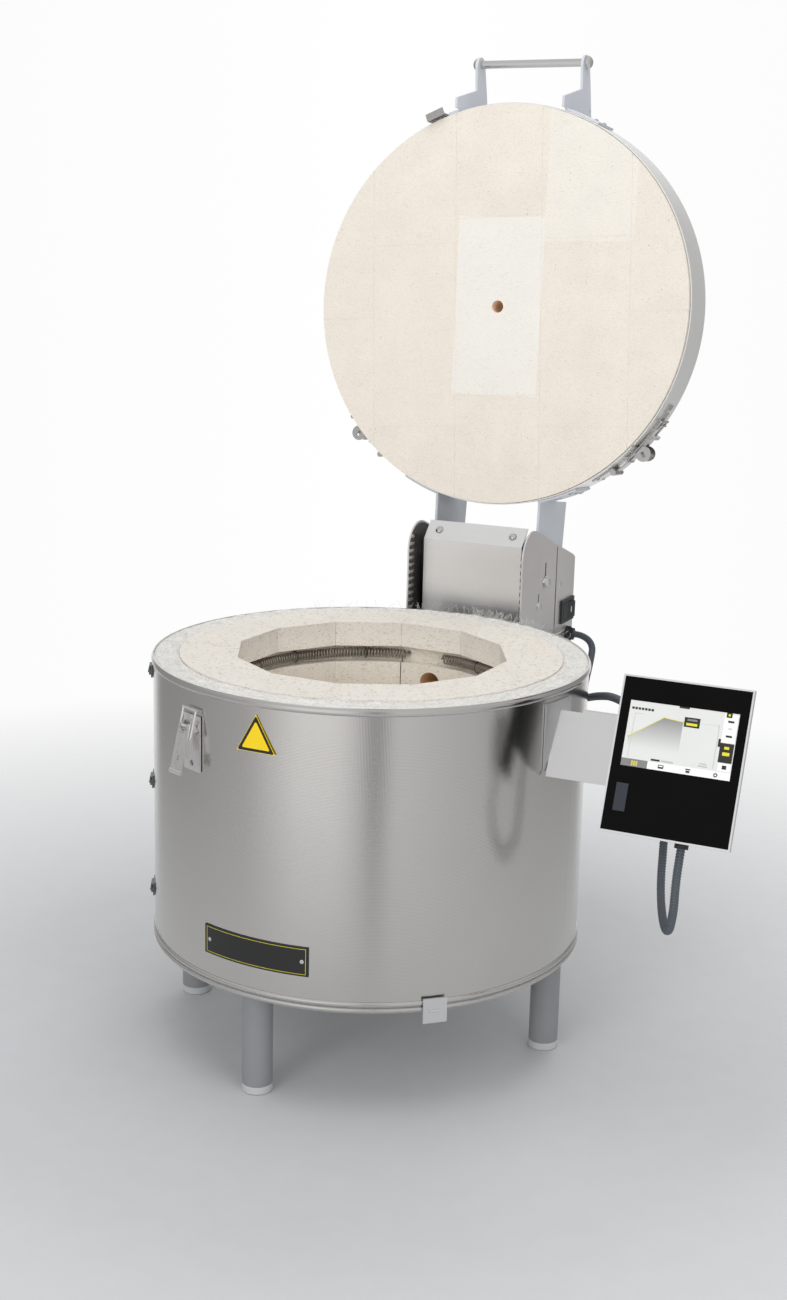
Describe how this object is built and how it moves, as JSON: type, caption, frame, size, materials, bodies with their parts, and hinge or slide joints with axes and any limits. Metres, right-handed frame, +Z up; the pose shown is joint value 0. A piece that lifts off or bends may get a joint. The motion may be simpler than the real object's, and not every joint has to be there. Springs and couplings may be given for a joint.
{
  "type": "round top-loading glass kiln",
  "caption": "Round steel-cased tabletop kiln with a firebrick chamber, coiled elements, a rear-hinged lid standing open and a touch controller on a side arm.",
  "frame": {"origin": "drum axis at floor level, under the feet", "axes": "+Z up, +Y towards the hinge, -Y towards the front handle, +X towards the controller"},
  "size_m": [0.6959, 0.7017, 1.1188],
  "materials": {
    "stainless": "satin",
    "bright_steel": "satin",
    "latch_steel": "satin",
    "grey_paint": "satin",
    "leg_paint": "satin",
    "glide_plastic": "satin",
    "firebrick": "matte",
    "board": "matte",
    "fibre": "matte",
    "element_wire": "matte",
    "porcelain": "satin",
    "black_plastic": "satin",
    "black_rubber": "matte",
    "hose_plastic": "satin",
    "silver_trim": "satin",
    "black_glass": "gloss",
    "screen": "gloss",
    "yellow_sign": "satin"
  },
  "bodies": {
    "kiln": {"casing": "stainless", "base_pan": "stainless", "legs": "leg_paint", "leg_glides": "glide_plastic", "casing_clamps": "latch_steel", "fibre_wrap": "fibre", "wall_bricks": "firebrick", "floor_bricks": "firebrick", "floor_board": "board", "elements": "element_wire", "element_bushes": "porcelain", "thermocouple": "porcelain", "latch_base": "latch_steel", "hinge_cover": "stainless", "side_panels": "stainless", "hinge_liners": "black_plastic", "hinge_chassis": "bright_steel", "hinge_shaft": "bright_steel", "stop_bar": "bright_steel", "stop_sleeves": "black_rubber", "mount_brackets": "stainless", "housing_screws": "bright_steel", "box_shell": "stainless", "box_front": "bright_steel", "switch_bezel": "black_plastic", "relay": "black_plastic", "terminal_block": "porcelain", "hose_gland": "black_plastic", "mains_gland": "black_plastic", "hose": "hose_plastic", "controller_bracket": "stainless", "controller_arm": "bright_steel", "controller_housing": "black_plastic", "controller_frame": "silver_trim", "controller_glass": "black_glass", "controller_screen": "screen", "hose_socket": "black_plastic", "bottom_catch": "latch_steel", "triangle_plate": "yellow_sign", "nameplate": "stainless"},
    "lid": {"lid_bricks": "firebrick", "lid_cover": "stainless", "lid_band_front": "stainless", "lid_band_rear": "stainless", "handle_brackets": "grey_paint", "handle_bar": "bright_steel", "handle_caps": "bright_steel", "lid_rivets": "bright_steel", "lid_arms": "grey_paint", "tensioner_bases": "latch_steel", "tensioner_keepers": "latch_steel", "lid_keeper": "latch_steel"},
    "tensioner_right": {"tensioner_lever_right": "latch_steel"},
    "loop_right": {"tensioner_loop_right": "latch_steel"},
    "tensioner_left": {"tensioner_lever_left": "latch_steel"},
    "loop_left": {"tensioner_loop_left": "latch_steel"},
    "latch_lever": {"latch_lever": "latch_steel"},
    "latch_loop": {"latch_loop": "latch_steel"},
    "rocker": {"switch_rocker": "black_plastic"},
    "usb_flap": {"usb_flap": "black_plastic"}
  },
  "joints": [
    {"name": "lid_hinge", "type": "hinge", "parent": "kiln", "child": "lid", "pos_m": [0, 0.34, 0.473], "axis": [1, 0, 0], "range_deg": [0, 94.6]},
    {"name": "tensioner_right_pivot", "type": "hinge", "parent": "lid", "child": "tensioner_right", "pos_m": [0.15995, 0.35663, 0.6174], "axis": [0, 0.9968, -0.0802], "range_deg": [0, 120]},
    {"name": "loop_right_pivot", "type": "hinge", "parent": "tensioner_right", "child": "loop_right", "pos_m": [0.17593, 0.35789, 0.63306], "axis": [0, 0.9968, -0.0802], "range_deg": [0, 60]},
    {"name": "tensioner_left_pivot", "type": "hinge", "parent": "lid", "child": "tensioner_left", "pos_m": [-0.15995, 0.35663, 0.6174], "axis": [0, -0.9968, 0.0802], "range_deg": [0, 120]},
    {"name": "loop_left_pivot", "type": "hinge", "parent": "tensioner_left", "child": "loop_left", "pos_m": [-0.17593, 0.35789, 0.63306], "axis": [0, -0.9968, 0.0802], "range_deg": [0, 60]},
    {"name": "latch_lever_pivot", "type": "hinge", "parent": "kiln", "child": "latch_lever", "pos_m": [-0.09807, -0.23105, 0.398], "axis": [-0.9205, 0.3907, 0], "range_deg": [0, 95]},
    {"name": "latch_loop_pivot", "type": "hinge", "parent": "latch_lever", "child": "latch_loop", "pos_m": [-0.09949, -0.23439, 0.38757], "axis": [0.9205, -0.3907, 0], "range_deg": [0, 95]},
    {"name": "power_switch", "type": "hinge", "parent": "kiln", "child": "rocker", "pos_m": [0.074, 0.424, 0.422], "axis": [0, 0, 1], "range_deg": [0, 14]},
    {"name": "usb_flap_hinge", "type": "hinge", "parent": "kiln", "child": "usb_flap", "pos_m": [0.3281, -0.11709, 0.3594], "axis": [0, 0.3746, 0.9272], "range_deg": [-100, 0]}
  ],
  "couplings": [
    {"joint": "latch_loop_pivot", "follows": "latch_lever_pivot", "ratio": 1}
  ]
}
